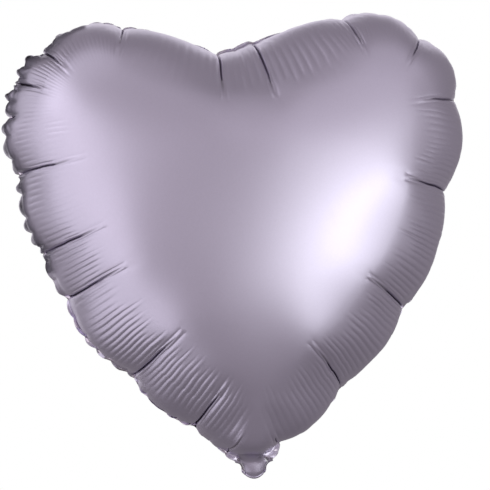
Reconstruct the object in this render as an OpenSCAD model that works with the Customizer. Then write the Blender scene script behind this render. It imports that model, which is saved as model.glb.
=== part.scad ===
// Heart-shaped foil balloon, inflated, about 45 cm across before filling.
// Millimetres. +Z runs from the neck up to the notch, +X is to the right and the front faces -Y.
// The origin is the point on the neck where a ribbon is tied.
// The outline is of the inflated balloon, to the outer edge of its heat-sealed border.

/* [Heart] */
// Radius of each round lobe
lobe_r = 81.5; // [78:0.5:86]
// Distance of each lobe's centre from the middle
lobe_x = 100; // [95:0.5:105]
// Height of the lobes' centres above the tie point
lobe_z = 274.5; // [262:0.5:286]
// Radius of the hollow between the lobes
notch_r = 150; // [120:2:210]
// Angle at which a lobe runs into the long side, from the horizontal
side_angle = -5; // [-10:1:0]
// Depth of the filled balloon, front to back
depth = 206; // [160:2:220]
// Height of the point where the balloon is deepest
deepest_z = 200; // [180:5:220]

/* [Border and neck] */
// Width of the heat-sealed border
border_w = 5; // [3:0.5:7]
// Width of the neck and of the tail
neck_w = 33; // [28:1:40]
// Height at which the long sides run into the neck
neck_top = 8; // [6:1:14]
// Distance of the tail's fold below the tie point
fold_drop = 11; // [8:1:14]

/* [Tail] */
// Length of the tail beyond its fold
tail_l = 45; // [30:1:60]
// Angle that the tail is folded up behind the balloon, from hanging straight down
tail_fold = 105; // [0:5:105]

/* [Valve] */
// Length of the valve that reaches into the balloon above the neck
valve_reach = 45; // [30:1:70]
// Width of each seal along the valve's sides
valve_seal_w = 2; // [1:0.5:4]
// Distance that the release print reaches above the neck
print_reach = 4; // [0:1:10]

/* [Film] */
// Thickness of a balloon film, a stand-in for 0.04 mm
film_t = 0.3; // [0.2:0.05:0.4]
// Thickness of a valve film, a stand-in for 0.03 mm
valve_t = 0.15; // [0.1:0.01:0.2]
// Thickness of the release print, a stand-in for 0.005 mm
print_t = 0.05; // [0.02:0.01:0.08]

/* [Mesh] */
// Points along each lobe and each long side
side_steps = 22; // [10:1:30]
// Rings between the border and the deepest point
rings = 11; // [6:1:14]

/* [Hidden] */

FOIL = [0.62, 0.57, 0.66];
FOIL_REAR = [0.55, 0.50, 0.59];
SEAL = [0.46, 0.41, 0.48];
CLEAR_FILM = [0.86, 0.88, 0.90];
PRINT = [0.95, 0.95, 0.92];

// Distance from the middle plane to the inner face of a balloon film
half_gap = 2 * valve_t;
// Half the width of the open channel in the neck
channel = neck_w / 2 - border_w;
// Room left free around the fold, so that the tail can turn
fold_gap = 1.2;
neck_end = fold_gap - fold_drop;
notch_steps = round(side_steps * 0.4);

// The hollow between the lobes is an arc that touches both lobes
notch_z = lobe_z + sqrt(pow(notch_r + lobe_r, 2) - lobe_x * lobe_x);
notch_end = atan2(lobe_z - notch_z, lobe_x);
lobe_start = notch_end + 180;

// The long side is an arc that leaves the lobe smoothly and meets the neck's corner
corner = [neck_w / 2, neck_top] - [lobe_x, lobe_z];
leave = [cos(side_angle), sin(side_angle)];
side_r = (corner * corner - 2 * lobe_r * (corner * leave) + lobe_r * lobe_r)
         / (2 * (lobe_r - corner * leave));
side_centre = [lobe_x, lobe_z] - (side_r - lobe_r) * leave;

// Points of an arc from angle a to angle b, with its last point left out
function arc(centre, r, a, b, steps) =
    [for (i = [0 : steps - 1]) let (t = a + (b - a) * i / steps) centre + r * [cos(t), sin(t)]];

// Angle at which the long side, moved in by inset, reaches the neck's side
function side_end(inset) =
    -acos((neck_w / 2 - inset - side_centre[0]) / (side_r - inset));

function flip(points) = [for (i = [len(points) - 1 : -1 : 0]) [-points[i][0], points[i][1]]];

// Right half of the heart from the notch to the neck, moved in by inset
function half_heart(inset) =
    let (end = side_end(inset))
    concat(
        arc([0, notch_z], notch_r + inset, -90, notch_end, notch_steps),
        arc([lobe_x, lobe_z], lobe_r - inset, lobe_start, side_angle, side_steps),
        arc(side_centre, side_r - inset, side_angle, end, side_steps),
        [side_centre + (side_r - inset) * [cos(end), sin(end)]]
    );

// The heart closed straight across its neck; the neck has three points between its corners
function heart(inset) =
    let (half = half_heart(inset), last = half[len(half) - 1])
    concat(half, [for (s = [0.5, 0, -0.5]) [s * last[0], last[1]]], all_but_last(flip(half)));

// Drops the notch point that both halves share
function all_but_last(points) = [for (i = [0 : len(points) - 2]) points[i]];

// How full the dome is towards a point of the outline: fullest towards the notch
function fullness(p) = exp(-pow(atan2(abs(p[0]), p[1] - deepest_z) / 25, 2));

// Depth of the dome at the share t of the way out to a point of the outline
function dome(p, t) =
    let (f = fullness(p)) pow(1 - pow(t, 2.2 + 0.8 * f), 0.68 - 0.12 * f);

// One ring of the film: the outline drawn in to the share t about the deepest point
function ring(outline, t, base, rise) =
    [for (p = outline) [t * p[0], -(base + rise * dome(p, t)), deepest_z + t * (p[1] - deepest_z)]];

function flat_ring(outline, y) = [for (p = outline) [p[0], -y, p[1]]];

// A closed skin over rings that run from one end point to the other
module skin(loops, first, last) {
    n = len(loops[0]);
    m = len(loops);
    points = concat([first], [for (loop = loops) each loop], [last]);
    polyhedron(points, concat(
        [for (i = [0 : n - 1]) [0, 1 + i, 1 + (i + 1) % n]],
        [for (k = [0 : m - 2], i = [0 : n - 1])
            let (a = 1 + k * n + i, b = 1 + k * n + (i + 1) % n) each [[a, a + n, b + n], [a, b + n, b]]],
        [for (i = [0 : n - 1]) [1 + m * n, 1 + (m - 1) * n + (i + 1) % n, 1 + (m - 1) * n + i]]
    ));
}

// Front half of the balloon: a domed film and its flat border
module panel() {
    rise = depth / 2 - half_gap - film_t;
    outer = heart(border_w);
    inner = heart(border_w + film_t);
    edge = heart(0);
    shares = [for (i = [0 : rings - 1]) cos(90 * i / rings)];
    skin(
        concat(
            [for (i = [rings - 1 : -1 : 0]) ring(inner, shares[i], half_gap, rise)],
            [flat_ring(edge, half_gap), flat_ring(edge, half_gap + film_t)],
            [for (t = shares) ring(outer, t, half_gap + film_t, rise)]
        ),
        [0, -(half_gap + rise), deepest_z],
        [0, -depth / 2, deepest_z]
    );
}

// A flat piece that lies in the XZ plane, from y0 back to y1
module upright(y0, y1) {
    translate([0, y1, 0]) rotate([90, 0, 0]) linear_extrude(y1 - y0) children();
}

// A film from x0 to x1 and z0 to z1, between y0 and y1
module strip(x0, x1, y0, y1, z0, z1) {
    translate([x0, y0, z0]) cube([x1 - x0, y1 - y0, z1 - z0]);
}

module on_both_sides() {
    children();
    mirror([1, 0, 0]) children();
}

// A flat film as wide as the neck, with its front face at y
module ply(y, z0, z1) {
    strip(-neck_w / 2, neck_w / 2, y, y + film_t, z0, z1);
}

// The melted strips along both sides of the neck or the tail
module side_seals(z0, z1) {
    on_both_sides() strip(channel, neck_w / 2, -half_gap, half_gap, z0, z1);
}

// Turns a tail piece from hanging straight to its folded place
module folded() {
    translate([0, 0, -fold_drop]) rotate([tail_fold, 0, 0]) children();
}

module front_panel() {
    color(FOIL) panel();
}

module rear_panel() {
    color(FOIL_REAR) mirror([0, 1, 0]) panel();
}

// The two films' inner layers, melted into one along the border and left open at the neck
module edge_seal() {
    color(SEAL) upright(-half_gap, half_gap) difference() {
        polygon(heart(0));
        polygon(heart(border_w));
        translate([-channel, neck_top - 1]) square([2 * channel, border_w + 1]);
    }
}

module neck_front_ply() {
    color(FOIL) ply(-half_gap - film_t, neck_end, neck_top);
}

module neck_rear_ply() {
    color(FOIL_REAR) ply(half_gap, neck_end, neck_top);
}

module neck_side_seals() {
    color(SEAL) side_seals(neck_end, neck_top);
}

valve_top = neck_top + valve_reach;

module valve_front_film() {
    color(CLEAR_FILM) strip(-channel, channel, -half_gap, valve_t - half_gap, neck_end, valve_top);
}

module valve_rear_film() {
    color(CLEAR_FILM) strip(-channel, channel, half_gap - valve_t, half_gap, neck_end, valve_top);
}

module valve_side_seals() {
    gap = half_gap - valve_t;
    color(SEAL) on_both_sides()
        strip(channel - valve_seal_w, channel, -gap, gap, neck_end, valve_top);
}

// Ink that keeps the valve open while the border is sealed across it
module valve_release_print() {
    gap = half_gap - valve_t;
    x = channel - valve_seal_w;
    color(PRINT) strip(-x, x, -gap, print_t - gap, neck_end, neck_top + print_reach);
}

module tail_front_ply() {
    color(FOIL) folded() ply(-half_gap - film_t, -tail_l, -fold_gap);
}

module tail_rear_ply() {
    color(FOIL_REAR) folded() ply(half_gap, -tail_l, -fold_gap);
}

module tail_side_seals() {
    color(SEAL) folded() side_seals(-tail_l, -fold_gap);
}

front_panel();
rear_panel();
edge_seal();
neck_front_ply();
neck_rear_ply();
neck_side_seals();
valve_front_film();
valve_rear_film();
valve_side_seals();
valve_release_print();
tail_front_ply();
tail_rear_ply();
tail_side_seals();
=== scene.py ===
"""A heart-shaped foil balloon: two flat films, inflated by a cloth simulation inside the CAD frame.

Lengths are in millimetres until a mesh is made. In the flat cut, z = 0 is the height of the
lobes' centres. Every film point has two flat coordinates, and for pleats and ripples also its
distance in from the cut edge and the length along that edge from the notch.
"""

import math

import bpy
import numpy as np
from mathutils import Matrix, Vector
from mathutils.bvhtree import BVHTree
from mathutils.geometry import delaunay_2d_cdt


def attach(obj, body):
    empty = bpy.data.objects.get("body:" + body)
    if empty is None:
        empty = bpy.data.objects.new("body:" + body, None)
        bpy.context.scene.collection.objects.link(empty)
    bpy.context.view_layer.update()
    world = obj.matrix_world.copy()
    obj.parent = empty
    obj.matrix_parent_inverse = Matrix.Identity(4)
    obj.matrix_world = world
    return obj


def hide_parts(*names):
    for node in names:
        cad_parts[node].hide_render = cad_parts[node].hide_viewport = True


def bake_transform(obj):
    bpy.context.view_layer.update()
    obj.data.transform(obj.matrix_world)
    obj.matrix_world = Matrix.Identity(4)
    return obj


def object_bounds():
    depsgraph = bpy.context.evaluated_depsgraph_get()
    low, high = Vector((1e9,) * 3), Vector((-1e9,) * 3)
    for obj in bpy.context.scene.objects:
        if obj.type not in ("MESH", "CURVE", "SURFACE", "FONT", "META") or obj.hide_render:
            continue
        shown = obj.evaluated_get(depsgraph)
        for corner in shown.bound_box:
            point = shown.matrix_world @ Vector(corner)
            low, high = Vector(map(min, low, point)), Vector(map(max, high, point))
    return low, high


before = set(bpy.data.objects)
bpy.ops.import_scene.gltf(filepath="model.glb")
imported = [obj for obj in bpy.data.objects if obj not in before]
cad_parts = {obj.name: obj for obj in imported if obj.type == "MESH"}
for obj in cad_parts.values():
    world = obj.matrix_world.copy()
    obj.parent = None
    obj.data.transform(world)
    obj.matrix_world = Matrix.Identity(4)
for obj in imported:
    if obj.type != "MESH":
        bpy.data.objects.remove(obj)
cad_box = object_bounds()

MM = 0.001
BODY, TAIL = "balloon", "tail"
# Seeds: for what is drawn once, in turn, and for the ripples' spacing, the small scallops' spacing
# and depth, and the rear lobes' size, which are drawn again at each use
rng = np.random.default_rng(11)
RIPPLE_SEED, CUSP_SEED, SCALLOP_SEED, LOBE_SEED = 20, 40, 60, 81
# Random numbers drawn for the small scallops and for the ripples of each half, more than it has
SCALLOPS = 80
RIPPLES = 400

# The flat cut of each film
LOBE_X = 100.7
LOBE_R = 127.8
NOTCH_R = 460.0
SIDE_ANGLE = math.radians(3)
NECK_HALF = 16.5
NECK_Z = -303.5
NECK_L = 13.5
BORDER = 5.0
FOLD_Z = NECK_Z - NECK_L

# Height of a triangle in a lattice, as a share of its side
TRIANGLE_H = 0.866

# The simulation: distance between its points, its length, the width of the band beside the seam
# that has rows of points of its own, and Blender units to a millimetre while it runs
SPACING = 4.0
FRAMES = 24
ROWS_BAND = 72.0
SIM_SCALE = 0.01
SMOOTHINGS = 25

# Creases that run in from the border: the share of the way from the notch to the neck, and how
# far in each one reaches, seen from the front
CREASES = {
    1: ((0.025, 52), (0.142, 33), (0.274, 32), (0.40, 41), (0.54, 52), (0.716, 74), (0.86, 47), (0.975, 10)),
    -1: ((0.021, 46), (0.142, 24), (0.277, 27), (0.345, 25), (0.40, 9), (0.485, 49), (0.60, 56), (0.675, 64),
         (0.815, 47), (0.925, 36), (0.985, 18)),
}
CREASE_DEPTH = 6.5
CREASE_HALF_W = 0.55
# How far the edge draws in at a crease, and the length of the small scallops between the creases
SCALLOP = 1.6
SCALLOP_L = 18.0
# Depth of the small scallops of the edge, by the share of the way from the notch to the neck
SMALL_SCALLOPS = {
    1: ((0, 0.4), (0.1, 0.6), (0.3, 0.7), (0.5, 0.6), (0.62, 1.3), (0.95, 1.2), (1, 0)),
    -1: ((0, 0.4), (0.2, 0.8), (0.26, 1.2), (0.33, 2.2), (0.6, 2.0), (0.7, 1.5), (0.95, 1.2), (1, 0)),
}
# How far the front film bulges past the seam, by share; the rear film always does so by REAR_ROLL
ROLL = {
    1: ((0, 3), (1, 3)),
    -1: ((0, 3), (0.2, 2), (0.27, 0.5), (0.6, 0.5), (0.68, 3), (1, 3)),
}
REAR_ROLL = 3.0
# Width of the band that has creases and ripples, and the length over which the simulation's own
# coarse puckers are evened out in it
BAND = 105.0
EVEN_OUT = 20.0
# How far the outline lies outside the simulated one, in mm, by share
OUTLINE = {
    1: ((0, 1), (0.02, 5), (0.13, 2), (0.2, -3.5), (0.36, -1.5), (0.5, -2.5), (0.56, -1.5), (0.62, -3),
        (0.7, 4), (0.8, 1), (0.86, 4), (0.94, 1.5), (0.98, -1), (1, -1)),
    -1: ((0, 1), (0.02, -2), (0.13, -1), (0.21, -6.5), (0.26, -5.5), (0.32, -2.5), (0.42, 1), (0.52, -2.5),
         (0.6, 1.5), (0.78, 1), (0.84, 2), (0.95, 0), (1, -1)),
}
# How much further the rolls stand out than the border, over the whole width
ROLLS_BEYOND = 5.0
# How far the border leans back behind the heart, in degrees, and the rear film's lobes beyond it
LEAN = {
    1: ((0, 45), (0.1, 60), (0.6, 60), (0.7, 30), (0.9, 40), (0.985, 70), (1, 0)),
    -1: ((0, 45), (0.15, 50), (0.24, 74), (0.6, 74), (0.66, 15), (0.9, 30), (0.985, 70), (1, 0)),
}
REAR_LOBE = {
    1: ((0, 0), (1, 0)),
    -1: ((0, 0), (0.19, 0), (0.22, 8.5), (0.36, 8.5), (0.45, 6), (0.6, 6), (0.64, 0), (1, 0)),
}

# Fine ripples between the creases
RIPPLE_PITCH = 5.8
# Points of the film across one ripple
COLUMNS = 12
RIPPLE_HEIGHT = 0.9
RIPPLE_STRENGTH = {
    1: ((0, 1.4), (0.03, 1.3), (0.08, 0.5), (0.2, 0.2), (0.33, 0.1), (0.45, 0.4), (0.56, 0.8), (0.8, 0.8),
        (1, 0.4)),
    -1: ((0, 0.7), (0.08, 0.4), (0.2, 0.15), (0.3, 0.4), (0.42, 0.5), (0.5, 0.7), (0.62, 0.8), (0.85, 0.75),
         (1, 0.5)),
}

# How far the heart's point hangs below the simulated one, how far the neck leans to the right at
# its fold, and the radius to which it is rounded there
POINT_DROP = 7.0
NECK_ASIDE = 4.5
NECK_R = 14.0
# Distance of each panel from the middle of the melted layer, and half that layer's thickness
OFF_SEAL = 0.12
HALF_SEAL = 0.07
# The tail, beyond its fold
TAIL_L = 45.0
FOLD_R = 2.0
FOLD_TURN = math.radians(105)


def smooth(t):
    """A smooth step from 0 to 1."""
    t = np.clip(t, 0, 1)
    return t * t * (3 - 2 * t)


def unit(vectors):
    """Vectors brought to length 1."""
    return vectors / np.maximum(np.linalg.norm(vectors, axis=-1, keepdims=True), 1e-12)


def cross2(a, b):
    """Cross products of flat vectors."""
    return a[:, 0] * b[:, 1] - a[:, 1] * b[:, 0]


def columns_at(x, known, values):
    """Each column of values, interpolated at x."""
    return np.stack([np.interp(x, known, values[:, k]) for k in range(values.shape[1])], axis=-1)


def on_half(flat, side):
    """Which flat points lie on a side: 1 is the right half, with the middle line, and -1 the left."""
    return flat[:, 0] >= 0 if side == 1 else flat[:, 0] < 0


def signed(along, flat):
    """Lengths along the edge, made negative on the left half."""
    return np.where(flat[:, 0] < 0, -along, along)


# ---------------------------------------------------------------- the flat cut

def side_arc():
    """Centre and radius of the long side's arc, which touches the lobe and meets the neck."""
    corner = np.array([NECK_HALF - LOBE_X, NECK_Z])
    leave = np.array([math.cos(SIDE_ANGLE), math.sin(SIDE_ANGLE)])
    radius = (corner @ corner - 2 * LOBE_R * (corner @ leave) + LOBE_R**2) / (2 * (LOBE_R - corner @ leave))
    return np.array([LOBE_X, 0.0]) - (radius - LOBE_R) * leave, radius


SIDE_C, SIDE_R = side_arc()
LOBE_C = np.array([LOBE_X, 0.0])
NOTCH_C = np.array([0.0, math.sqrt((NOTCH_R + LOBE_R) ** 2 - LOBE_X**2)])
NOTCH_END = math.atan2(-NOTCH_C[1], LOBE_X)
LOBE_START = NOTCH_END + math.pi


def side_end(inset):
    """Angle at which the long side, moved in by inset, reaches the neck's side or the middle."""
    x = max(NECK_HALF - inset, 0.0)
    return -math.acos((x - SIDE_C[0]) / (SIDE_R - inset))


def half_edge(inset):
    """Points 0.5 mm apart down the right half of the cut edge, moved in by inset."""
    def arc(centre, radius, start, end):
        n = max(2, int(abs(end - start) * radius / 0.5))
        t = np.linspace(start, end, n)[:, None]
        return centre + radius * np.concatenate([np.cos(t), np.sin(t)], axis=1)

    parts = [
        arc(NOTCH_C, NOTCH_R + inset, -math.pi / 2, NOTCH_END),
        arc(LOBE_C, LOBE_R - inset, LOBE_START, SIDE_ANGLE)[1:],
        arc(SIDE_C, SIDE_R - inset, SIDE_ANGLE, side_end(inset))[1:],
    ]
    if inset < NECK_HALF:
        n = int((parts[-1][-1, 1] - FOLD_Z) / 0.5)
        z = np.linspace(parts[-1][-1, 1], FOLD_Z, n)[1:]
        parts.append(np.stack([np.full(n - 1, NECK_HALF - inset), z], axis=1))
    return np.concatenate(parts)


def lengths(line):
    """Length along a line at each of its points."""
    return np.concatenate([[0], np.cumsum(np.linalg.norm(np.diff(line, axis=0), axis=1))])


def row(inset, step, stagger=False):
    """Evenly spaced points on the right half, inset from the cut edge, starting at the notch."""
    line = half_edge(inset)
    along = lengths(line)
    n = max(2, round(along[-1] / step))
    at = along[-1] * (np.arange(n) + 0.5) / n if stagger else np.linspace(0, along[-1], n + 1)
    points = columns_at(at, along, line)
    if inset >= NECK_HALF:
        points = points[(points[:, 0] > 0.4 * step) | (points[:, 1] > 0)]
    return points


def edge_place(points):
    """For flat points: distance in from the cut edge, length along it from the notch, and its scale there."""
    x, z = np.abs(points[:, 0]), points[:, 1]
    arcs = (
        (NOTCH_C, NOTCH_R, -1, -math.pi / 2, NOTCH_END),
        (LOBE_C, LOBE_R, 1, LOBE_START, SIDE_ANGLE),
        (SIDE_C, SIDE_R, 1, SIDE_ANGLE, side_end(0)),
    )
    inset = np.full(len(points), np.inf)
    along = np.zeros(len(points))
    scale = np.ones(len(points))
    before = 0.0
    for centre, radius, inward, start, end in arcs:
        dx, dz = x - centre[0], z - centre[1]
        angle = np.arctan2(dz, dx)
        share = np.clip((angle - start) / (end - start), 0, 1)
        at = start + share * (end - start)
        away = np.hypot(dx - radius * np.cos(at), dz - radius * np.sin(at))
        away = np.where((share > 0) & (share < 1), inward * (radius - np.hypot(dx, dz)), away)
        better = away < inset
        inset = np.where(better, away, inset)
        along = np.where(better, before + share * radius * abs(end - start), along)
        scale = np.where(better, 1 - inward * away / radius, scale)
        before += radius * abs(end - start)
    neck = (z < NECK_Z) & (NECK_HALF - x < inset)
    inset = np.where(neck, NECK_HALF - x, inset)
    along = np.where(neck, before + NECK_Z - z, along)
    scale = np.where(neck, 1, scale)
    return inset, along, scale, before


EDGE_L = edge_place(np.zeros((1, 2)))[3]
EDGE = half_edge(0.0)
EDGE_S = lengths(EDGE)
EDGE_IN = unit(np.gradient(EDGE, axis=0)[:, ::-1] * [1, -1])


def from_edge(inset, along):
    """Flat points at a distance in from the cut edge; along is negative on the left half."""
    at = np.abs(along)
    (x, z), (dx, dz) = (columns_at(at, EDGE_S, values).T for values in (EDGE, EDGE_IN))
    return np.stack([np.where(along < 0, -1, 1) * (x + inset * dx), z + inset * dz], axis=-1)


def lattice(spacing, inset):
    """A lattice of flat points that lie further than inset from the cut edge."""
    half_w, height = 240, 460
    nx, nz = int(half_w / spacing), int(height / (TRIANGLE_H * spacing))
    gx, gz = np.meshgrid(np.arange(-nx, nx + 1), np.arange(nz))
    points = np.stack([(gx + 0.5 * (gz % 2)) * spacing, FOLD_Z + gz * TRIANGLE_H * spacing], axis=2)
    points = points.reshape(-1, 2)
    return points[(edge_place(points)[0] > inset) & inside(points)]


def inside(points):
    """Which flat points lie in the cut, by how often a line out to the side crosses its edge."""
    x, z = np.abs(points[:, 0]), points[:, 1]
    line = half_edge(0)
    crossings = np.zeros(len(points), int)
    a, b = line[:-1:4], line[4::4]
    for (x0, z0), (x1, z1) in zip(a[: len(b)], b):
        hit = (z0 > z) != (z1 > z)
        crossings += hit & (x < x0 + (z - z0) * (x1 - x0) / (z1 - z0 if z1 != z0 else 1))
    return (crossings % 2 == 1) & (z > FOLD_Z)


def both_halves(points):
    """Points of the right half with their mirror images, and the middle's points once."""
    off = points[points[:, 0] > 1e-6]
    return np.concatenate([points, off * [-1, 1]])


def triangles(points, edges=()):
    """Triangles between flat points; a closed line of edges bounds them."""
    v, _, f, *_ = delaunay_2d_cdt([Vector(p) for p in points], list(edges), [], 1 if edges else 0, 1e-6)
    if len(v) != len(points):
        raise RuntimeError("two flat points coincide")
    return np.array([list(t) for t in f])


# ---------------------------------------------------------------- inflation

def simulation_mesh():
    """Both films as one mesh that shares the seam's points, with a single-layer border outside it."""
    h = SPACING
    seam_half = row(BORDER, h)
    steps = max(2, round(2 * seam_half[-1, 0] / h))
    bottom = np.linspace(seam_half[-1, 0], -seam_half[-1, 0], steps + 1)[1:-1]
    seam = np.concatenate([
        seam_half, np.stack([bottom, np.full(steps - 1, FOLD_Z)], axis=1), seam_half[:0:-1] * [-1, 1],
    ])
    n_seam, n_half = len(seam), len(seam_half)
    insets = np.arange(BORDER + 0.9 * h, BORDER + ROWS_BAND, 0.9 * h)
    rows = [row(e, h, stagger=i % 2 == 0) for i, e in enumerate(insets)]
    rows = [r[r[:, 1] > FOLD_Z + 0.5 * h] for r in rows]
    inner = both_halves(np.concatenate(rows))
    inner = np.concatenate([inner, lattice(h, insets[-1] + 0.7 * h)])
    points = np.concatenate([seam, inner])
    front = triangles(points, [(i, (i + 1) % n_seam) for i in range(n_seam)])
    n = len(points)
    rear_of = np.concatenate([np.arange(n_seam), n + np.arange(n - n_seam)])
    rear = rear_of[front][:, ::-1]
    # the border, from the right end of the neck over the notch to its left end
    order = np.concatenate([np.arange(n_half)[::-1], np.arange(n_seam - 1, n_seam - n_half, -1)])
    outward = np.gradient(seam[order], axis=0)
    outward = unit(np.stack([outward[:, 1], -outward[:, 0]], axis=1))
    outward[[0, -1]] = [[1, 0], [-1, 0]]
    first = 2 * n - n_seam
    outer = first + np.arange(len(order))
    border = []
    for i in range(len(order) - 1):
        border += [[order[i], outer[i], outer[i + 1]], [order[i], outer[i + 1], order[i + 1]]]
    flat = np.concatenate([points, points[n_seam:], seam[order] + BORDER * outward])
    return {
        "flat": flat, "front": front, "rear": rear, "border": np.array(border),
        "n": n, "n_seam": n_seam, "first_border": first,
    }


def pleat_seeds(flat):
    """How near each point is to a deep pleat, from 0 to 1."""
    inset, along, _, _ = edge_place(flat)
    near = np.zeros(len(flat))
    for side, reaches in CREASES.items():
        for share in (share for share, _ in reaches if share < 0.95):
            gap = np.where(on_half(flat, side), along - share * EDGE_L, 1e9) / (0.9 * SPACING + 3)
            near = np.maximum(near, np.exp(-gap**2) * np.clip(1 - (inset - BORDER) / 45, 0, 1))
    return near


def inflate(sim):
    """Runs the cloth simulation and returns the inflated points."""
    flat, n, n_seam, first = sim["flat"], sim["n"], sim["n_seam"], sim["first_border"]
    inset = edge_place(flat)[0] - BORDER
    near = pleat_seeds(flat)
    start = np.zeros((len(flat), 3))
    start[:, [0, 2]] = flat
    start[:, [0, 2]] += 6.0 * near[:, None] * unit(np.array([0.0, -40.0]) - flat)
    bulge = 9.0 * np.sqrt(np.clip(inset, 0, 60) / 60) * (1 - 0.9 * near)
    start[:n, 1] = -bulge[:n]
    start[n:first, 1] = bulge[n:first]
    start[:n_seam, 1] = 0
    start[:, 1] += rng.normal(0, 0.15, len(flat))
    rest = np.stack([flat[:, 0], np.zeros(len(flat)), flat[:, 1]], axis=1)
    mesh = bpy.data.meshes.new("inflating")
    faces = np.concatenate([sim["front"], sim["rear"], sim["border"]])
    mesh.from_pydata((rest * SIM_SCALE).tolist(), [], faces.tolist())
    cloth = bpy.data.objects.new("inflating", mesh)
    bpy.context.scene.collection.objects.link(cloth)
    cloth.shape_key_add(name="cut")
    key = cloth.shape_key_add(name="start")
    key.data.foreach_set("co", (start * SIM_SCALE).astype(np.float32).ravel())
    key.value = 1.0
    gas = cloth.vertex_groups.new(name="gas")
    for i, strength in enumerate(smooth((flat[:, 1] - NECK_Z + 8) / 35)):
        if inset[i] > 0.3 and strength > 0:
            gas.add([i], float(strength), "REPLACE")
    modifier = cloth.modifiers.new("film", "CLOTH")
    s = modifier.settings
    s.quality, s.mass, s.air_damping = 6, 0.05, 2.0
    s.tension_stiffness, s.compression_stiffness, s.shear_stiffness = 60, 60, 40
    s.tension_damping = s.compression_damping = s.shear_damping = 10
    s.bending_stiffness, s.bending_damping = 0.02, 0.5
    s.use_pressure, s.uniform_pressure_force = True, 12.0
    s.vertex_group_pressure = "gas"
    s.effector_weights.gravity = 0.0
    s.rest_shape_key = mesh.shape_keys.key_blocks["cut"]
    modifier.collision_settings.use_collision = False
    modifier.point_cache.frame_end = FRAMES + 1
    for f in range(1, FRAMES + 1):
        bpy.context.scene.frame_set(f)
    result = evaluated(cloth)[0] / SIM_SCALE
    bpy.data.objects.remove(cloth)
    bpy.context.scene.frame_set(1)
    return result


def calm(sim, points):
    """Smooths the unevenness that the simulation leaves away from the border and the step at the neck."""
    faces = np.concatenate([sim["front"], sim["rear"]])
    inset, z = edge_place(sim["flat"])[0], sim["flat"][:, 1]
    at_neck = smooth((inset - BORDER - 1) / 5) * smooth((NECK_Z + 45 - z) / 25) * smooth((z - FOLD_Z - 1) / 6)
    weight = np.maximum(0.6 * smooth((inset - 25) / 45), 0.5 * at_neck)[:, None]
    a = faces.ravel()
    b = np.roll(faces, 1, axis=1).ravel()
    count = np.maximum(np.bincount(a, minlength=len(points)), 1)[:, None]
    for _ in range(SMOOTHINGS):
        total = np.stack([np.bincount(a, points[b, k], len(points)) for k in range(3)], axis=1)
        points = points + weight * (total / count - points)
    return points


def evaluated(obj):
    """Points and triangles of an object after its modifiers."""
    shown = obj.evaluated_get(bpy.context.evaluated_depsgraph_get())
    mesh = shown.to_mesh()
    mesh.calc_loop_triangles()
    co = np.zeros(len(mesh.vertices) * 3, np.float32)
    tri = np.zeros(len(mesh.loop_triangles) * 3, np.int32)
    mesh.vertices.foreach_get("co", co)
    mesh.loop_triangles.foreach_get("vertices", tri)
    shown.to_mesh_clear()
    return co.reshape(-1, 3).astype(float), tri.reshape(-1, 3)


# ---------------------------------------------------------------- smooth film surface

def subdivided(points, faces, sharp):
    """The points of a mesh after two subdivisions, kept sharp along the given edges."""
    mesh = bpy.data.meshes.new("coarse")
    mesh.from_pydata(points.tolist(), [], faces.tolist())
    crease = mesh.attributes.new("crease_edge", "FLOAT", "EDGE")
    for edge in mesh.edges:
        if tuple(sorted(edge.vertices)) in sharp:
            crease.data[edge.index].value = 1.0
    obj = bpy.data.objects.new("coarse", mesh)
    bpy.context.scene.collection.objects.link(obj)
    finer = obj.modifiers.new("finer", "SUBSURF")
    finer.levels = finer.render_levels = 2
    result = evaluated(obj)
    bpy.data.objects.remove(obj)
    return result


# A grid over the band: distances in from the edge, and lengths along it
GRID_STEP = 3.0
GRID_INSET = np.arange(0, BAND + GRID_STEP, GRID_STEP)
GRID_ALONG = np.arange(-EDGE_L, EDGE_L + GRID_STEP, GRID_STEP)


def bell(steps, width):
    """Weights of a moving average that reaches steps of the grid each way."""
    kernel = np.exp(-((np.arange(-steps, steps + 1) * GRID_STEP / width) ** 2) / 2)
    return kernel / kernel.sum()


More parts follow.
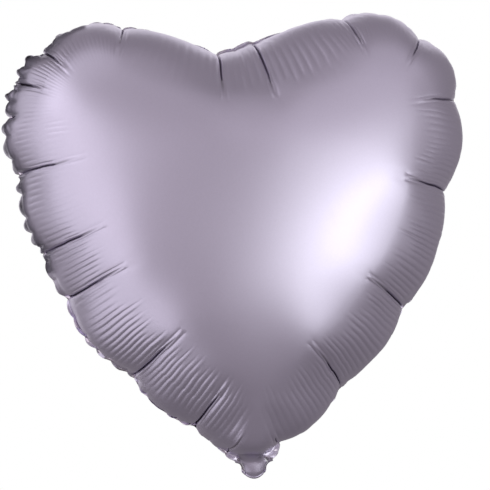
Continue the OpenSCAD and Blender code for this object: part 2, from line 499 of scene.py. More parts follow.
class Film:
    """Maps flat points to places on one inflated film."""

    def __init__(self, sim, inflated, side):
        faces = np.concatenate([sim[side], sim["border"] if side == "front" else sim["border"][:, ::-1]])
        used, index = np.unique(faces, return_inverse=True)
        faces = index.reshape(-1, 3)
        seam = np.nonzero(used < sim["n_seam"])[0].tolist()
        n = len(seam)
        sharp = {tuple(sorted((seam[i], seam[(i + 1) % n]))) for i in range(n)}
        flat = np.concatenate([sim["flat"][used], np.zeros((len(used), 1))], axis=1)
        self.flat, self.tri = subdivided(flat, faces, sharp)
        self.place = subdivided(inflated[used], faces, sharp)[0]
        self.tree = BVHTree.FromPolygons(self.flat.tolist(), self.tri.tolist())
        self.even_out()

    def raw(self, points):
        """Places on the simulated film."""
        found = [self.tree.find_nearest((p[0], p[1], 0.0))[2] for p in points.tolist()]
        a, b, c = (self.tri[found][:, k] for k in range(3))
        fa, fb, fc = (self.flat[k][:, :2] for k in (a, b, c))
        u, v, w = fb - fa, fc - fa, points - fa
        area = cross2(u, v)
        area = np.where(np.abs(area) < 1e-12, 1e-12, area)
        s = np.clip(cross2(w, v) / area, -0.2, 1.2)[:, None]
        t = np.clip(cross2(u, w) / area, -0.2, 1.2)[:, None]
        return (1 - s - t) * self.place[a] + s * self.place[b] + t * self.place[c]

    def even_out(self):
        """Finds how far the band near the border moves when its coarse puckers are evened out."""
        steps_along, steps_in = 18, 6
        inset, along = np.meshgrid(GRID_INSET, GRID_ALONG, indexing="ij")
        grid = self.raw(from_edge(inset.ravel(), along.ravel())).reshape(*inset.shape, 3)
        self.shift = np.zeros_like(grid)
        fade = before_end(np.abs(GRID_ALONG), 40, 35)
        for i, e in enumerate(GRID_INSET):
            kernel = bell(steps_along, EVEN_OUT * (1 - smooth((e - 45) / 60)) + 0.1)
            for k in range(3):
                padded = np.pad(grid[i, :, k], steps_along, mode="edge")
                self.shift[i, :, k] = fade * (np.convolve(padded, kernel, mode="valid") - grid[i, :, k])
        even = grid + self.shift
        padded = np.pad(even, ((steps_in, steps_in), (0, 0), (0, 0)), mode="reflect", reflect_type="odd")
        soft = sum(w * padded[k:k + len(even)] for k, w in enumerate(bell(steps_in, 7)))
        mix = smooth((GRID_INSET - BORDER - 6) / 12)[:, None, None] * fade[None, :, None]
        self.shift += mix * (soft - even)
        seam = (grid + self.shift)[np.argmin(np.abs(GRID_INSET - BORDER))]
        run = np.gradient(seam, axis=0)
        self.inward = unit(np.stack([run[:, 2], np.zeros(len(run)), -run[:, 0]], axis=1))

    def rescale(self, scale, offset):
        """Scales the film and then moves it."""
        self.place = self.place * scale + offset
        self.shift = self.shift * scale

    def __call__(self, points):
        """Places on the film with its puckers evened out."""
        inset, along, _, _ = edge_place(points)
        along = signed(along, points)
        i = np.clip(inset / GRID_STEP, 0, len(GRID_INSET) - 1.001)
        j = np.clip((along - GRID_ALONG[0]) / GRID_STEP, 0, len(GRID_ALONG) - 1.001)
        a, b = i.astype(int), j.astype(int)
        s, t = (i - a)[:, None], (j - b)[:, None]
        shift = (1 - s) * ((1 - t) * self.shift[a, b] + t * self.shift[a, b + 1])
        shift += s * ((1 - t) * self.shift[a + 1, b] + t * self.shift[a + 1, b + 1])
        keep = in_band(inset) * off_axis(points)
        beyond = by_share(OUTLINE, np.abs(along), points[:, 0]) * (1 - smooth((inset - BORDER) / 70))
        beyond *= off_axis(points)
        inward = columns_at(along, GRID_ALONG, self.inward)
        return self.raw(points) + shift * keep[:, None] - beyond[:, None] * inward


def before_end(along, start, over):
    """1 along the edge, fading to 0 from start before its end, over a given length."""
    return 1 - smooth((along - EDGE_L + start) / over)


def in_band(inset):
    """1 in the band beside the edge, fading to 0 at its inner side."""
    return 1 - smooth((inset - BAND + 20) / 20)


def off_axis(points):
    """Fades what is made separately for each half towards the middle line, below the lobes."""
    below = smooth(-points[:, 1] / 40)
    return 1 - below * (1 - smooth(np.abs(points[:, 0]) / 20))


# Distances between the finished film's points: the first row and the widest row beside the border,
# along the neck's foot, in the lattice inside the band, the least, and those of a line's fine steps
FIRST_ROW, WIDEST_ROW, FOOT_STEP, LATTICE_STEP, LEAST_GAP, FINE = 1.3, 2.4, 1.1, 2.9, 0.36, 0.25


def film_points():
    """Flat points of the finished film: close together near the border and the creases."""
    quick = 1.0
    insets = [0.0, 0.5 * BORDER]
    inset, step = BORDER, FIRST_ROW
    while inset < BAND:
        insets.append(inset)
        inset += step * quick
        step = min(step * 1.06, WIDEST_ROW)
    dense = np.arange(0, EDGE_S[-1], FINE)
    parts = COLUMNS / quick
    rows = []
    for side in (1, -1):
        phase = ripple_phase(dense, side)
        number = np.arange(math.ceil(phase[0] * parts), phase[-1] * parts)
        columns = np.interp(number / parts, phase, dense)
        for e in insets:
            line = from_edge(e, dense)
            scale = np.interp(columns, dense, np.gradient(lengths(line)) / FINE)
            near = np.zeros(len(columns), bool)
            for share, reach in CREASES[side]:
                if e < reach + 35:
                    near |= np.abs(columns - share * EDGE_L) * scale < 4
            every = np.select([near & (scale > 0.4), scale > 0.55, scale > 0.28], [1, 2, 4], 8)
            at = columns[number % every == 0]
            if side == 1:
                at = np.concatenate([[0.0], at[at > 0.6]])
            points = from_edge(e, side * at)
            off_middle = 0.45 * quick if e > BORDER else -0.001
            good = (edge_place(points)[0] > e - 0.03) & (side * points[:, 0] > off_middle)
            good |= (at == 0.0) & (side == 1)
            rows.append(points[good & (points[:, 1] > FOLD_Z - 0.01)])
    foot = np.arange(-NECK_HALF, NECK_HALF + 0.1, FOOT_STEP * quick)
    rows.append(np.stack([foot, np.full(len(foot), FOLD_Z)], axis=1))
    rows.append(lattice(LATTICE_STEP * quick, BAND + 1.5))
    return apart(np.concatenate(rows), LEAST_GAP * quick)


def apart(points, gap):
    """Leaves out points that lie closer than gap to an earlier one."""
    keep = np.ones(len(points), bool)
    cells = {}
    for i, (x, z) in enumerate(points.tolist()):
        a, b = int(x // gap), int(z // gap)
        for key in [(a + p, b + q) for p in (-1, 0, 1) for q in (-1, 0, 1)]:
            for j in cells.get(key, ()):
                if (points[j, 0] - x) ** 2 + (points[j, 1] - z) ** 2 < gap * gap:
                    keep[i] = False
        if keep[i]:
            cells.setdefault((a, b), []).append(i)
    return points[keep]


def reach_inset(film, along, reach):
    """The inset at which a line in from the edge has come a given distance, seen from the front."""
    e = np.arange(BORDER, BAND, 1.0)
    line = film(from_edge(e, np.full(len(e), along)))
    seen = np.hypot(line[:, 0] - line[0, 0], line[:, 2] - line[0, 2])
    return float(np.interp(reach, seen, e))


def folds(film):
    """Every crease of a film: side, place along the edge, start and end."""
    found = []
    for side, reaches in CREASES.items():
        for share, reach in reaches:
            number = round(float(ripple_phase(share * EDGE_L, side)) * COLUMNS)
            at = float(np.interp(number / COLUMNS, ripple_phase(EDGE_S, side), EDGE_S))
            end = reach_inset(film, side * at, reach)
            first = 0.0 if share > 0.1 or side < 0 else BORDER + 8
            found.append((side, at, first, end))
    return found


def line_shape(across, half_w):
    """The cross-section of a sharp crease."""
    return np.exp(-np.abs(across) / half_w)


def creases(flat, film_folds):
    """The creases at flat points: how deep they are, and how near their bottoms, from 0 to 1, which is where
    shade is painted into the film's colour.

    A crease is a sharp line in a shallow valley, with fainter lines beside its inner end and a low
    ridge beyond it; the ridge counts as less depth.
    """
    inset, along, scale, _ = edge_place(flat)
    depth, shade_mask = np.zeros((2, len(flat)))
    for side, at, first, end in film_folds:
        across = (along - at) * scale
        near = on_half(flat, side) & (np.abs(across) < 20) & (inset < end * 1.3)
        u, e = across[near], inset[near]
        q = (e - BORDER) / (end - BORDER)
        begun = smooth((e - first) / 6) if first > 0 else 1.0
        length = min(1.0, 0.55 + (end - BORDER) / 100)
        deepest = CREASE_DEPTH * length * begun
        main = deepest * (1 - 0.5 * q) * np.clip((1 - q) / 0.3, 0, 1) ** 0.7 * line_shape(u, CREASE_HALF_W)
        valley = 0.22 * deepest * np.clip(1 - q, 0, 1) * np.exp(-((np.abs(u) / 8) ** 1.6))
        gap = 2.6 * (1.25 - 0.4 * q)
        late = smooth((q - 0.4) / 0.25) * smooth((1.22 - q) / 0.3)
        sides = 0.75 * length * late * (line_shape(u - gap, 1.0) + 0.8 * line_shape(u + 1.1 * gap, 1.0))
        ridge = 0.7 * length * smooth((q - 0.62) / 0.2) * smooth((1.15 - q) / 0.3) * np.exp(-((u / 1.5) ** 2))
        depth[near] = np.maximum(depth[near], main) + valley + sides - ridge
        # Nearness to the crease's bottom: the mask of the painted shade there
        bottom = np.exp(-((u / 0.8) ** 2)) * smooth((0.97 - q) / 0.15) * (1 - 0.5 * np.clip(q, 0, 1))
        shade_mask[near] = np.maximum(shade_mask[near], bottom * begun)
    return depth, shade_mask


def lobes(along, side):
    """Number of the small scallop at each place along the edge, and how full it is there, from 0 to 1."""
    cusps = np.cumsum(np.random.default_rng(CUSP_SEED + side).uniform(0.65, 1.35, SCALLOPS) * SCALLOP_L)
    k = np.clip(np.searchsorted(cusps, along) - 1, 0, len(cusps) - 2)
    t = np.clip((along - cusps[k]) / (cusps[k + 1] - cusps[k]), 0, 1)
    return k, 1 - np.abs(2 * t - 1) ** 2.2


def by_share(table, along, side_of):
    """Values of a table for both sides at places along the edge."""
    right, left = (np.interp(along / EDGE_L, *zip(*table[side])) for side in (1, -1))
    return np.where(side_of < 0, left, right)


def scallop(inset, along, side):
    """How far the edge draws in between the crests of the rolls, fading inwards."""
    marks = np.array([0.0] + [share * EDGE_L for share, _ in CREASES[side]] + [EDGE_L])
    k = np.clip(np.searchsorted(marks, along) - 1, 0, len(marks) - 2)
    gap = marks[k + 1] - marks[k]
    t = np.clip((along - marks[k]) / gap, 0, 1)
    drawn = SCALLOP * np.abs(2 * t - 1) ** 2.6 * np.minimum(gap / 30, 1)
    k, full = lobes(along, side)
    deep = np.random.default_rng(SCALLOP_SEED + side).uniform(0.6, 1.2, SCALLOPS)[k]
    small = deep * np.interp(along / EDGE_L, *zip(*SMALL_SCALLOPS[side])) * (1 - full)
    outer = 1 + 0.8 * np.clip(1 - inset / BORDER, 0, 1)
    return drawn * (1 - smooth((inset - BORDER) / 45)) + small * outer * (1 - smooth((inset - BORDER) / 22))


def ripple_phase(along, side):
    """Number of ripples up to each place along the edge, a little uneven."""
    knots = np.arange(0, EDGE_L + 80, 25.0)
    wander = np.random.default_rng(RIPPLE_SEED + side).uniform(-0.45, 0.45, len(knots))
    return along / RIPPLE_PITCH + np.interp(along, knots, wander)


def ripples(flat):
    """Height of the fine ripples between the creases."""
    inset, along, scale, _ = edge_place(flat)
    share = along / EDGE_L
    height = np.zeros(len(flat))
    for side in (1, -1):
        phase = ripple_phase(along, side)
        number = np.clip(np.floor(phase).astype(int) + 2, 0, RIPPLES - 1)
        first = rng.uniform(18, 32, RIPPLES)[number]
        last = rng.uniform(84, 104, RIPPLES)[number]
        strong = rng.uniform(0.5, 1.1, RIPPLES)[number]
        fade = smooth((inset - first) / 18) * smooth((last - inset) / 20) * smooth((scale - 0.3) / 0.3)
        level = np.interp(share, *zip(*RIPPLE_STRENGTH[side]))
        wave = np.abs(np.sin(math.pi * phase)) ** 0.8 - 0.6
        height += np.where(on_half(flat, side), RIPPLE_HEIGHT * level * strong * fade * wave, 0)
    return height * off_axis(flat)


def point_normals(points, faces):
    """Unit normals at the points of a triangle mesh."""
    a, b, c = (points[faces[:, k]] for k in range(3))
    face = np.cross(b - a, c - a)
    normal = np.zeros_like(points)
    for k in range(3):
        np.add.at(normal, faces[:, k], face)
    return unit(normal)


def flat_areas(points, faces):
    """Areas of flat triangles, negative where their corners run clockwise."""
    a, b, c = (points[faces[:, k]] for k in range(3))
    return np.cross(b - a, c - a) / 2


# ---------------------------------------------------------------- pieces

def new_object(name, points, faces, material):
    """A mesh object from points in metres."""
    mesh = bpy.data.meshes.new(name)
    mesh.from_pydata(np.asarray(points).tolist(), [], [list(map(int, f)) for f in faces])
    mesh.materials.append(material)
    obj = bpy.data.objects.new(name, mesh)
    bpy.context.scene.collection.objects.link(obj)
    return obj


def new_piece(name, points, faces, material, slot_name):
    """A smooth-shaded piece from points in millimetres."""
    obj = new_object(name, np.asarray(points) * MM, faces, material)
    obj.data.validate()
    obj.data.polygons.foreach_set("use_smooth", np.ones(len(obj.data.polygons), bool))
    return obj


def add_number(obj, name, values):
    """Stores a number at each point, for the material to read."""
    attribute = obj.data.attributes.new(name, "FLOAT", "POINT")
    attribute.data.foreach_set("value", np.asarray(values, np.float32))


def slab(name, place, us, vs, low, high, material, slot_name):
    """A closed thin film over a grid of us and vs, from low to high along the normal of place(u, v)."""
    u, v = np.meshgrid(us, vs, indexing="ij")
    base = place(u.ravel(), v.ravel()).reshape(len(us), len(vs), 3)
    du, dv = np.gradient(base, axis=0), np.gradient(base, axis=1)
    normal = unit(np.cross(du, dv))
    a, b = len(us), len(vs)
    points = np.concatenate([(base + low * normal).reshape(-1, 3), (base + high * normal).reshape(-1, 3)])
    at = np.arange(a * b).reshape(a, b)
    faces = []
    for i in range(a - 1):
        for j in range(b - 1):
            q = [at[i, j], at[i + 1, j], at[i + 1, j + 1], at[i, j + 1]]
            faces += [q[::-1], [k + a * b for k in q]]
    rim = list(at[:, 0]) + list(at[-1, 1:]) + list(at[-2::-1, -1]) + list(at[0, -2:0:-1])
    for i, p in enumerate(rim):
        q = rim[(i + 1) % len(rim)]
        faces.append([p, q, q + a * b, p + a * b])
    return new_piece(name, points, faces, material, slot_name)


# ---------------------------------------------------------------- materials

def new_material(name):
    """A material with its node tree and shader."""
    m = bpy.data.materials.new(name)
    m.use_nodes = True
    tree = m.node_tree
    return m, tree, tree.nodes["Principled BSDF"]


def noise(tree, scale, detail):
    """A noise texture in object space."""
    place = tree.nodes.new("ShaderNodeTexCoord")
    tex = tree.nodes.new("ShaderNodeTexNoise")
    tex.inputs["Scale"].default_value = scale
    tex.inputs["Detail"].default_value = detail
    tree.links.new(place.outputs["Object"], tex.inputs["Vector"])
    return tex.outputs["Fac"]


def map_range(tree, value, start, end, low, high, kind="LINEAR"):
    """Maps a value from start..end to low..high."""
    node = tree.nodes.new("ShaderNodeMapRange")
    node.interpolation_type = kind
    for name, number in (("From Min", start), ("From Max", end), ("To Min", low), ("To Max", high)):
        node.inputs[name].default_value = number
    tree.links.new(value, node.inputs["Value"])
    return node.outputs["Result"]


def spread(tree, value, low, high):
    """Maps a noise value to low..high."""
    return map_range(tree, value, 0.3, 0.7, low, high)


def colour_mix(tree, factor, first, second):
    """A mix of two colours; the first may also be another node's output."""
    node = tree.nodes.new("ShaderNodeMix")
    node.data_type = "RGBA"
    tree.links.new(factor, node.inputs["Factor"])
    if isinstance(first, list):
        node.inputs["A"].default_value = (*first, 1)
    else:
        tree.links.new(first, node.inputs["A"])
    node.inputs["B"].default_value = (*second, 1)
    return node.outputs["Result"]


def stored(tree, name):
    """A number that add_number has stored on the piece."""
    node = tree.nodes.new("ShaderNodeAttribute")
    node.attribute_name = name
    return node.outputs["Fac"]


# Colour of the painted shade along the creases' bottoms, standing in for their shadow
CREASE_SHADE_COLOUR = (0.10, 0.08, 0.10)


def foil(name, colour, roughness):
    """Satin ink over a metallised film: faint mottling, a fine grain, and painted shade: dark lines painted
    into the colour along the creases' bottoms.
    """
    m, tree, shader = new_material(name)
    shader.inputs["Metallic"].default_value = 1.0
    mottle = spread(tree, noise(tree, 700, 3), 0, 1)
    ink = colour_mix(tree, mottle, [c * 0.985 for c in colour], [c * 1.015 for c in colour])
    # Painted shade: the ink's colour is darkened towards near-black where the crease attribute marks a
    # crease's bottom
    crease_shade = colour_mix(tree, stored(tree, "crease"), ink, CREASE_SHADE_COLOUR)
    tree.links.new(crease_shade, shader.inputs["Base Color"])
    rough = tree.nodes.new("ShaderNodeMix")
    rough.inputs["B"].default_value = roughness * 0.75
    tree.links.new(stored(tree, "border"), rough.inputs["Factor"])
    tree.links.new(spread(tree, noise(tree, 500, 4), roughness * 0.96, roughness * 1.04), rough.inputs["A"])
    tree.links.new(rough.outputs["Result"], shader.inputs["Roughness"])
    bump = tree.nodes.new("ShaderNodeBump")
    bump.inputs["Strength"].default_value = 0.06
    bump.inputs["Distance"].default_value = 0.00005
    tree.links.new(noise(tree, 900, 2), bump.inputs["Height"])
    tree.links.new(bump.outputs["Normal"], shader.inputs["Normal"])
    return m


def clear_film(name, colour, roughness):
    """Milky polyethylene film, with a fine haze."""
    m, tree, shader = new_material(name)
    haze = colour_mix(tree, spread(tree, noise(tree, 200, 4), 0, 1), [c * 0.9 for c in colour], colour)
    tree.links.new(haze, shader.inputs["Base Color"])
    uneven = spread(tree, noise(tree, 500, 2), roughness * 0.8, roughness * 1.2)
    tree.links.new(uneven, shader.inputs["Roughness"])
    return m


LILAC = (0.595, 0.546, 0.70)
front_foil = foil("front_foil", LILAC, 0.38)
rear_foil = foil("rear_foil", LILAC, 0.38)
seal_foil = foil("seal_foil", (0.58, 0.52, 0.62), 0.28)
valve_film = clear_film("valve_film", (0.86, 0.88, 0.90), 0.35)
valve_seal = clear_film("valve_seal", (0.78, 0.80, 0.83), 0.45)
release_ink = clear_film("release_ink", (0.95, 0.95, 0.92), 0.8)


# ---------------------------------------------------------------- build

sim = simulation_mesh()
inflated = calm(sim, inflate(sim))
films = {side: Film(sim, inflated, side) for side in ("front", "rear")}


def inward_at(along):
    """Unit vectors in the seam's plane that point into the heart, square to the seam."""
    return columns_at(along, GRID_ALONG, films["front"].inward)


def drawn_in(flat, film_folds):
    """How far each flat point moves into its film's surface, and the seam's own inward direction."""
    inset, along, _, _ = edge_place(flat)
    depth = creases(flat, film_folds)[0]
    for side in (1, -1):
        depth += np.where(on_half(flat, side), scallop(inset, along, side), 0)
    fade = before_end(along, 25, 25) * off_axis(flat)
    return depth * fade, inward_at(signed(along, flat))


def rolls(flat, side):
    """How far a film bulges past the seam between the creases, which leaves the seam in a groove."""
    inset, along, _, _ = edge_place(flat)
    rise = smooth((inset - BORDER) / 22) ** 0.7 * (1 - smooth((inset - 30) / 55))
    size = by_share(ROLL, along, flat[:, 0]) if side == "front" else REAR_ROLL
    return size * rise * before_end(along, 45, 30) * off_axis(flat)


def curl(x, much, radius):
    """A film's width with its edges crumpled and bent back: new x and the distance back."""
    narrow = np.minimum(np.abs(x), 6) + (1 - 0.55 * much) * np.clip(np.abs(x) - 6, 0, None)
    turn = narrow * much / radius
    width = np.where(turn > 1e-6, radius * np.sin(turn) / np.maximum(much, 1e-9), narrow)
    return np.sign(x) * width, radius * (1 - np.cos(turn)) / np.maximum(much, 1e-9)


def gathered(points, flat):
    """Lays the neck's films flat, and draws them together and rounds them towards the fold."""
    t = np.clip((NECK_Z + 3 - flat[:, 1]) / (NECK_L + 3), 0, 1)
    much = smooth(t)
    lay = smooth((NECK_Z + 12 - flat[:, 1]) / 16)[:, None]
    points = points - [0, 0, POINT_DROP] * smooth((NECK_Z + 90 - flat[:, 1]) / 80)[:, None]
    laid = np.stack([
        flat[:, 0], np.clip(points[:, 1], -0.6, 0.6), cad_low[2] + 0.3 + flat[:, 1] - FOLD_Z,
    ], axis=1)
    out = points * (1 - lay) + laid * lay
    x, back = curl(out[:, 0], much, NECK_R)
    edge = smooth((np.abs(flat[:, 0]) - 6) / 5) * much
    out[:, 0] = x + NECK_ASIDE * lay[:, 0]
    crumple = 0.9 * np.sin(flat[:, 0] / 0.8) + 0.4 * np.sin(flat[:, 1] / 1.7)
    out[:, 1] += back + 4 * t**2 + edge * crumple
    out[:, 2] += x**2 / 17 * smooth((t - 0.2) / 0.8)
    return out


def flutter(flat):
    """Moves of the free border out of the seam's plane: its lean to the back and its waves."""
    inset, along, _, _ = edge_place(flat)
    free = np.clip(BORDER - inset, 0, None)
    side = np.where(flat[:, 0] < 0, 1.7, 0)
    wave = np.sin(along / 2.1 + side + 1.5 * np.sin(along / 23)) * (0.5 + 0.3 * np.sin(along / 17 + side))
    lean = np.radians(by_share(LEAN, along, flat[:, 0])) * off_axis(flat)
    move = (free * (1 - np.cos(lean)))[:, None] * inward_at(signed(along, flat))
    move[:, 1] += free * np.sin(lean) + wave * free / BORDER * np.cos(lean)
    return move


def rear_lobes(flat):
    """Moves of the rear film out past the border at the left, between small puckers."""
    inset, along, _, _ = edge_place(flat)
    number, full = lobes(along, -1)
    size = np.random.default_rng(LOBE_SEED).uniform(0.7, 1.15, SCALLOPS)[number]
    size = size * by_share(REAR_LOBE, along, flat[:, 0])
    rise = smooth((inset - BORDER) / 20) * (1 - smooth((inset - 26) / 30))
    return -(size * full * rise)[:, None] * inward_at(signed(along, flat))


def middle_surface(x, z):
    """Half way between the two films."""
    at = np.stack([x, z], axis=1)
    return (films["front"](at) + films["rear"](at)) / 2


def border_surface(flat):
    """Places on the border, where both films lie on each other."""
    depth, inward = drawn_in(flat, front_folds)
    points = middle_surface(flat[:, 0], flat[:, 1]) + depth[:, None] * inward
    return gathered(points + flutter(flat), flat)


front_folds = folds(films["front"])
rear_folds = folds(films["rear"])
cad_low, cad_high = (np.array(v) / MM for v in cad_box)


def fit_to_cad():
    """Scales and moves the films so that the border leaves room for the rolls in the CAD's box."""
    rim = border_surface(from_edge(0.0, GRID_ALONG))
    low, high = rim.min(axis=0), rim.max(axis=0)
    factor = (cad_high[0] - cad_low[0] - ROLLS_BEYOND) / (high[0] - low[0])
    top = cad_high[2] - ROLLS_BEYOND / 2
    offset = np.array([-factor * (high[0] + low[0]) / 2, 0, top - factor * high[2]])
    for film in films.values():
        film.rescale(factor, offset)
    return factor


scale = fit_to_cad()
film_flat = film_points()
film_faces = triangles(film_flat)
film_faces = film_faces[inside(film_flat[film_faces].mean(axis=1))]
clockwise = flat_areas(film_flat, film_faces) < 0
film_faces[clockwise] = film_faces[clockwise][:, ::-1]
edge_inset = edge_place(film_flat)[0]
on_border = smooth((BORDER + 0.4 - edge_inset) / 0.8)


def panel(side, foil_material, film_folds, nodes):
    """One film: its inflated surface with creases and ripples, and its own side of the border."""
    faces = film_faces if side == "front" else film_faces[:, ::-1]
    points = films[side](film_flat)
    normal = point_normals(points, faces)
    if (normal[:, 1].mean() > 0) == (side == "front"):
        faces, normal = faces[:, ::-1], -normal
    depth, inward = drawn_in(film_flat, film_folds)
    turn = smooth((edge_inset - BORDER) / 12)[:, None]
    toward = unit(inward * (1 - turn) - normal * turn)
    risen = ripples(film_flat) + rolls(film_flat, side)
    points = points + depth[:, None] * toward + risen[:, None] * normal
    if side == "rear":
        points += rear_lobes(film_flat)
    points = gathered(points + flutter(film_flat), film_flat)
    points += OFF_SEAL * point_normals(points, faces)
    piece = new_piece(f"{side}_panel", points, faces, foil_material, f"foil_{side}")
    add_number(piece, "border", on_border)
    # The crease attribute is the mask of the painted shade along the creases' bottoms
    add_number(piece, "crease", creases(film_flat, film_folds)[1])
    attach(piece, BODY)
    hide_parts(*nodes)
    return piece


front_panel = panel("front", front_foil, front_folds, ("front_panel", "neck_front_ply"))
rear_panel = panel("rear", rear_foil, rear_folds, ("rear_panel", "neck_rear_ply"))


def edge_seal():
    """The melted layer inside the border, which shows as a thin line at its edge."""
    right = row(0.0, 1.0)
    right_in = row(BORDER, 1.0)
    along, along_in = lengths(right), lengths(right_in)
    share = np.linspace(0, 1, len(right))
    line = []
    for half, total in ((right, along), (right_in, along_in)):
        line.append(columns_at(share, total / total[-1], half))
    outer, inner = (np.concatenate([h[::-1], h[1:] * [-1, 1]]) for h in line)
    outer_at, inner_at = (border_surface(h) for h in (outer, inner))
    out = unit(outer_at - inner_at)
    across = HALF_SEAL * unit(np.cross(out, np.gradient(outer_at, axis=0)))
    outer_at = outer_at + 0.25 * out
    ring = [outer_at - across, outer_at + across, inner_at + across, inner_at - across]
    n = len(outer)
    points = np.concatenate(ring)
    faces = []
    for k in range(4):
        a, b = k * n, ((k + 1) % 4) * n
        faces += [[a + i, a + i + 1, b + i + 1, b + i] for i in range(n - 1)]
    faces += [[0, n, 2 * n, 3 * n][::-1], [n - 1, 2 * n - 1, 3 * n - 1, 4 * n - 1]]
    piece = new_piece("edge_seal", points, faces, seal_foil, "heat_seal")
    add_number(piece, "border", np.ones(len(points)))
    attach(piece, BODY)
    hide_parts("edge_seal", "neck_side_seals")


edge_seal()


def join(piece, other):
    """Puts other's mesh into piece."""
    bpy.ops.object.select_all(action="DESELECT")
    other.select_set(True)
    piece.select_set(True)
    bpy.context.view_layer.objects.active = piece
    bpy.ops.object.join()


def slabs(place, strips):
    """Makes named strips of film in turn; side seals get a second strip at the other side."""
    for name, (us, vs, low, high, material, slot_name) in strips.items():
        piece = slab(name, place, us, vs, low, high, material, slot_name)
        if name.endswith("side_seals"):
            join(piece, slab("other_side", place, -us[::-1], vs, low, high, material, slot_name))
        yield name, piece


def valve():
    """The valve's films, side seals and print, lying in the neck and reaching into the heart."""
    channel = NECK_HALF - BORDER
    seal_w = 2.0
    bottom, neck_top, top = FOLD_Z + 1.5, NECK_Z, NECK_Z + 45
    up = np.linspace(bottom, top, 60)
    film_x, seal_x = np.linspace(-channel, channel, 24), np.linspace(channel - seal_w, channel, 4)
    print_x = np.linspace(-channel + seal_w, channel - seal_w, 20)
    print_up = np.linspace(bottom, neck_top + 4, 24)

    def place(x, z):
        points = middle_surface(0.94 * x, z)
        points[:, 1] += 0.5 * np.sin(z / 7) * smooth((z - NECK_Z) / 20)
        return gathered(points, np.stack([x, z], axis=1))

    strips = {
        "valve_front_film": (film_x, up, 0.10, 0.22, valve_film, "valve_film"),
        "valve_rear_film": (film_x, up, -0.22, -0.10, valve_film, "valve_film"),
        "valve_release_print": (print_x, print_up, 0.05, 0.10, release_ink, "release_ink"),
        "valve_side_seals": (seal_x, up, -0.10, 0.10, valve_seal, "valve_seal"),
    }
    for name, piece in slabs(place, strips):
        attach(piece, BODY)
        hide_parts(name)


valve()


def tail():
    """The filling tail: it leaves the neck's lower edge, folds and lies back under the rear film."""
    foot_x = np.linspace(-NECK_HALF, NECK_HALF, 67)
    foot_flat = np.stack([foot_x, np.full(67, FOLD_Z)], axis=1)
    foot = gathered(middle_surface(foot_x, foot_flat[:, 1]), foot_flat)
    mean = foot.mean(axis=0)
    bend_l = FOLD_R * FOLD_TURN
    crumple = rng.uniform(-1, 1, (4, 4))

    def place(x, t):
        turn = np.clip(t / FOLD_R, 0, FOLD_TURN)
        past = np.clip(t - bend_l, 0, None)
        y = mean[1] + FOLD_R * (1 - np.cos(turn)) + past * math.sin(FOLD_TURN)
        z = mean[2] - FOLD_R * np.sin(turn) - past * math.cos(FOLD_TURN)
        keep = np.exp(-((t / 12) ** 2))
        narrow = curl(x, np.ones(len(x)), 1e3)[0]
        rolled, up = curl(narrow, smooth(t / 28), 8.0)
        at_foot = columns_at(x, foot_x, foot) - [0, mean[1], mean[2]]
        out = np.stack([mean[0] + rolled, y, z + up], axis=1)
        out += (at_foot - np.stack([mean[0] + narrow, 0 * x, 0 * x], axis=1)) * keep[:, None]
        wave = sum(
            crumple[i, j] * np.sin((i + 1) * x / 7 + j) * np.cos((j + 1) * t / 13 + i) / (1 + i + j)
            for i in range(4) for j in range(4)
        )
        out[:, 2] += 0.55 * wave * smooth(t / 12)
        return out

    ts = np.concatenate([np.linspace(0, bend_l + 2, 14), np.linspace(bend_l + 3.5, TAIL_L, 30)])
    side_x = np.linspace(NECK_HALF - BORDER, NECK_HALF + 0.25, 7)
    strips = {
        "tail_front_ply": (foot_x, ts, 0.06, 0.16, front_foil, "foil_front"),
        "tail_rear_ply": (foot_x, ts, -0.16, -0.06, rear_foil, "foil_rear"),
        "tail_side_seals": (side_x, ts, -0.06, 0.06, seal_foil, "heat_seal"),
    }
    for name, piece in slabs(place, strips):
        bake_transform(piece)
        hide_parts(name)


tail()


# ---------------------------------------------------------------- camera, light and floor

CAMERA_D = 1.35
CAMERA_AZ = math.radians(-6)
CAMERA_ROLL = math.radians(2.4)
VIEW_W = 0.3862
AIM_RIGHT = 0.0040
middle = Vector((0, 0, (cad_box[0][2] + cad_box[1][2]) / 2))


def add_camera():
    """The photo's view: a long lens from the front and a little to the left, tilted."""
    data = bpy.data.cameras.new("camera")
    camera = bpy.data.objects.new("camera", data)
    bpy.context.scene.collection.objects.link(camera)
    right = Vector((math.cos(CAMERA_AZ), math.sin(CAMERA_AZ), 0))
    aim = middle + right * AIM_RIGHT
    camera.location = aim + CAMERA_D * Vector((math.sin(CAMERA_AZ), -math.cos(CAMERA_AZ), 0))
    data.lens = data.sensor_width * CAMERA_D / VIEW_W
    camera.rotation_euler = (aim - camera.location).to_track_quat("-Z", "Y").to_euler()
    camera.rotation_euler.rotate_axis("Z", -CAMERA_ROLL)
    data.clip_start, data.clip_end = 0.05, 50
    bpy.context.scene.camera = camera


LIGHT_D = 2.2
WHITE = (1, 1, 1)
# Soft panels: azimuth from the front towards the right, elevation, width and height as angles in
# degrees, radiance and colour
SOFTBOXES = {
    "key": (49, -12, 44, 46, 1.13, (0.97, 1.03, 0.96)),
    "key_inner": (30, -4, 29, 54, 0.97, (0.97, 1.03, 0.95)),
    "left_wall": (-72, -4, 94, 70, 0.71, WHITE),
    "left_behind": (-132, 15, 30, 80, 0.52, WHITE),
    "left_top": (-75, 52, 60, 25, 0.42, WHITE),
    "right_top": (44, 42, 42, 59, 0.24, WHITE),
    "back": (172, 20, 50, 50, 0.9, WHITE),
}
ROOM_COLOUR = (1.0, 0.93, 0.94)
# The black card: its ends by share of the left edge, its distance out from the seam, and how far
# behind the seam it begins and ends
FLAG_SHARES = (0.2, 0.63)
FLAG_OUT = 15
FLAG_BEHIND = (3, 30)
FLOOR_HALF = 3.0
FLOOR_DROP = 0.9


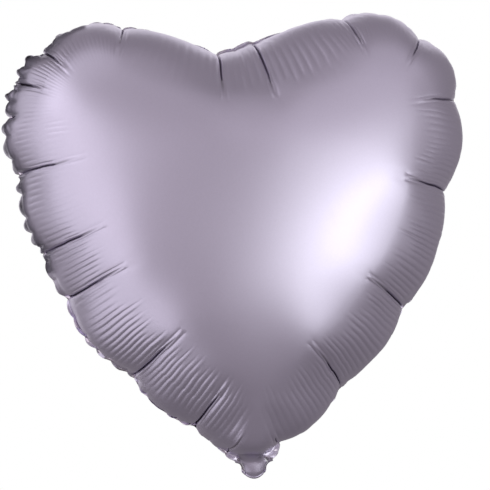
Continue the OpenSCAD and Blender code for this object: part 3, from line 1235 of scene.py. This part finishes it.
def softbox(name, azimuth, elevation, wide, tall, radiance, colour):
    """A soft panel LIGHT_D away that faces the heart."""
    az, el = math.radians(azimuth), math.radians(elevation)
    away = Vector((math.sin(az) * math.cos(el), -math.cos(az) * math.cos(el), math.sin(el)))
    data = bpy.data.lights.new(name, "AREA")
    data.shape = "RECTANGLE"
    data.size = 2 * LIGHT_D * math.tan(math.radians(wide / 2))
    data.size_y = 2 * LIGHT_D * math.tan(math.radians(tall / 2))
    data.energy = radiance * math.pi * data.size * data.size_y
    data.color = colour
    light = bpy.data.objects.new(name, data)
    bpy.context.scene.collection.objects.link(light)
    light.location = middle + LIGHT_D * away
    light.rotation_euler = (-away).to_track_quat("-Z", "Z").to_euler()


def studio():
    """Soft panels, a room that is dimmer behind and below, and white paper that only the camera sees."""
    for name, settings in SOFTBOXES.items():
        softbox(name, *settings)
    world = bpy.data.worlds.new("studio")
    bpy.context.scene.world = world
    world.use_nodes = True
    tree = world.node_tree
    tree.nodes.clear()
    place = tree.nodes.new("ShaderNodeTexCoord")
    axes = tree.nodes.new("ShaderNodeSeparateXYZ")
    tree.links.new(place.outputs["Generated"], axes.inputs["Vector"])
    ahead = map_range(tree, axes.outputs["Y"], -0.7, 0.4, 0.52, 0.30, "SMOOTHSTEP")
    above = map_range(tree, axes.outputs["Z"], -0.9, -0.2, 0.7, 1.0, "SMOOTHSTEP")
    product = tree.nodes.new("ShaderNodeMath")
    product.operation = "MULTIPLY"
    room, paper = (tree.nodes.new("ShaderNodeBackground") for _ in range(2))
    room.inputs["Color"].default_value = (*ROOM_COLOUR, 1)
    paper.inputs["Color"].default_value = (*WHITE, 1)
    path = tree.nodes.new("ShaderNodeLightPath")
    mix = tree.nodes.new("ShaderNodeMixShader")
    out = tree.nodes.new("ShaderNodeOutputWorld")
    links = (
        (ahead, product.inputs[0]),
        (above, product.inputs[1]),
        (product.outputs["Value"], room.inputs["Strength"]),
        (path.outputs["Is Camera Ray"], mix.inputs["Fac"]),
        (room.outputs["Background"], mix.inputs[1]),
        (paper.outputs["Background"], mix.inputs[2]),
        (mix.outputs["Shader"], out.inputs["Surface"]),
    )
    for start, end in links:
        tree.links.new(start, end)


def black_flag():
    """A black card behind the left edge, unseen by the camera, that keeps the rear film's rim dark."""
    m, _, shader = new_material("black_flag")
    shader.inputs["Base Color"].default_value = (0.01, 0.01, 0.01, 1)
    shader.inputs["Roughness"].default_value = 1.0
    shader.inputs["Specular IOR Level"].default_value = 0.0
    n = 60
    at = -EDGE_L * np.linspace(*FLAG_SHARES, n)
    line = border_surface(from_edge(np.full(n, BORDER), at)) - FLAG_OUT * inward_at(at)
    points = np.concatenate([line + [0, y, 0] for y in FLAG_BEHIND]) * MM
    flag = new_object("black_flag", points, [(i, i + 1, i + 1 + n, i + n) for i in range(n - 1)], m)
    flag.visible_camera = False


def floor():
    """A pale floor well below the heart."""
    m, _, shader = new_material("pale_floor")
    shader.inputs["Base Color"].default_value = (0.82, 0.82, 0.82, 1)
    shader.inputs["Roughness"].default_value = 0.7
    size, z = FLOOR_HALF, cad_box[0][2] - FLOOR_DROP
    corners = [(-size, -size, z), (size, -size, z), (size, size, z), (-size, size, z)]
    plane = new_object("floor", corners, [(0, 1, 2, 3)], m)
    plane.visible_glossy = False


add_camera()
studio()
black_flag()
floor()
bpy.context.scene.view_settings.view_transform = "Standard"

flat_area = scale**2 * flat_areas(film_flat, film_faces).sum() * MM * MM
